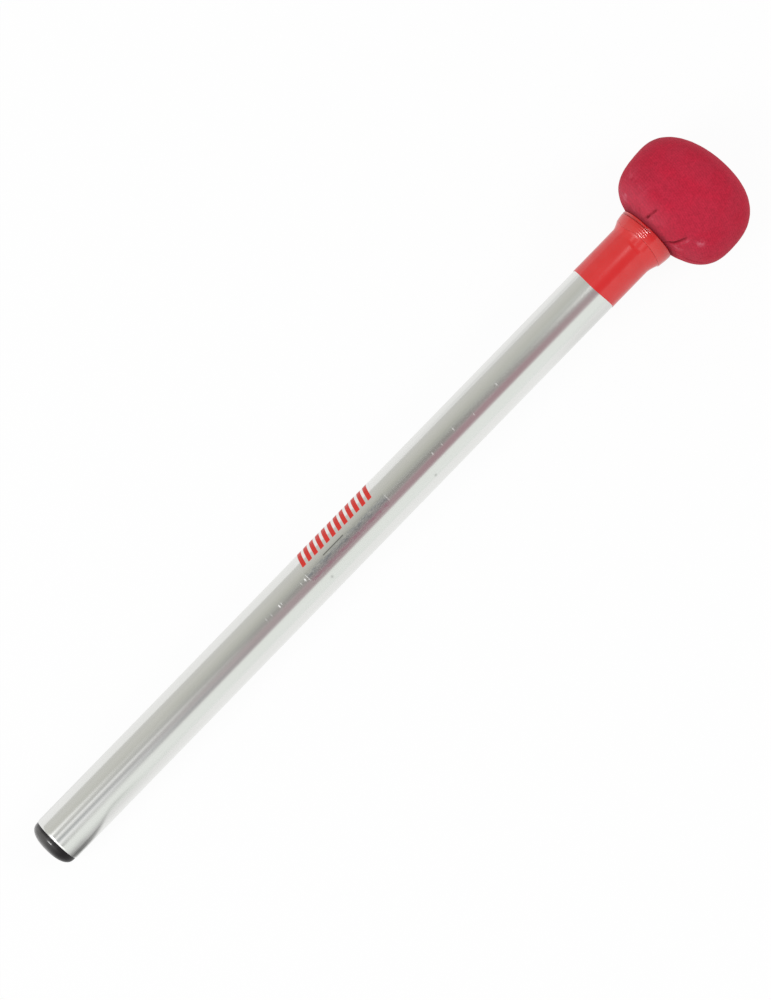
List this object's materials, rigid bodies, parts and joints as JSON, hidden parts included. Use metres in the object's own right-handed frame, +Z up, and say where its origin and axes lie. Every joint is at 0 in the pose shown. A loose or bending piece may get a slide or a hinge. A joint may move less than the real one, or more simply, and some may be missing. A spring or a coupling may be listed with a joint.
{
  "type": "surdo mallet",
  "caption": "Drum mallet with an aluminium tube handle, a domed plug in the butt, red tape at the neck and a padded crimson cloth head.",
  "frame": {"origin": "middle of the mallet's bounding box on the surface that it lies on, under the handle", "axes": "+X runs along the mallet from butt to head, and +Z is up. The handle rises 2.57 degrees towards +X, because the head's flat and the rim of the butt plug both rest on z = 0"},
  "size_m": [0.4034, 0.0568, 0.0564],
  "materials": {
    "tube_aluminium": "drawn tube, satin, with fine lines along its length",
    "cap_plastic": "moulded black plastic, low sheen",
    "red_tape": "stretched vinyl tape, glossy, slightly wrinkled",
    "crimson_cloth": "short napped cloth with a fine diagonal grain",
    "cotton_twine": "natural twisted cotton",
    "beech_wood": "turned and left bare",
    "plated_steel": "zinc plated",
    "grey_felt": "dense pressed felt",
    "cream_foam": "fine soft foam"
  },
  "bodies": {
    "root": {"handle_tube": "tube_aluminium", "butt_cap": "cap_plastic", "neck_tape": "red_tape", "collar_tape": "red_tape", "head_cover": "crimson_cloth", "binding_twine": "cotton_twine", "head_dowel": "beech_wood", "dowel_pin_lower": "plated_steel", "dowel_pin_upper": "plated_steel", "head_core": "beech_wood", "core_washer": "plated_steel", "core_screw": "plated_steel", "felt_wrap": "grey_felt", "base_felt": "grey_felt", "crown_felt_inner": "grey_felt", "crown_felt_outer": "grey_felt", "foam_jacket": "cream_foam"}
  },
  "joints": []
}
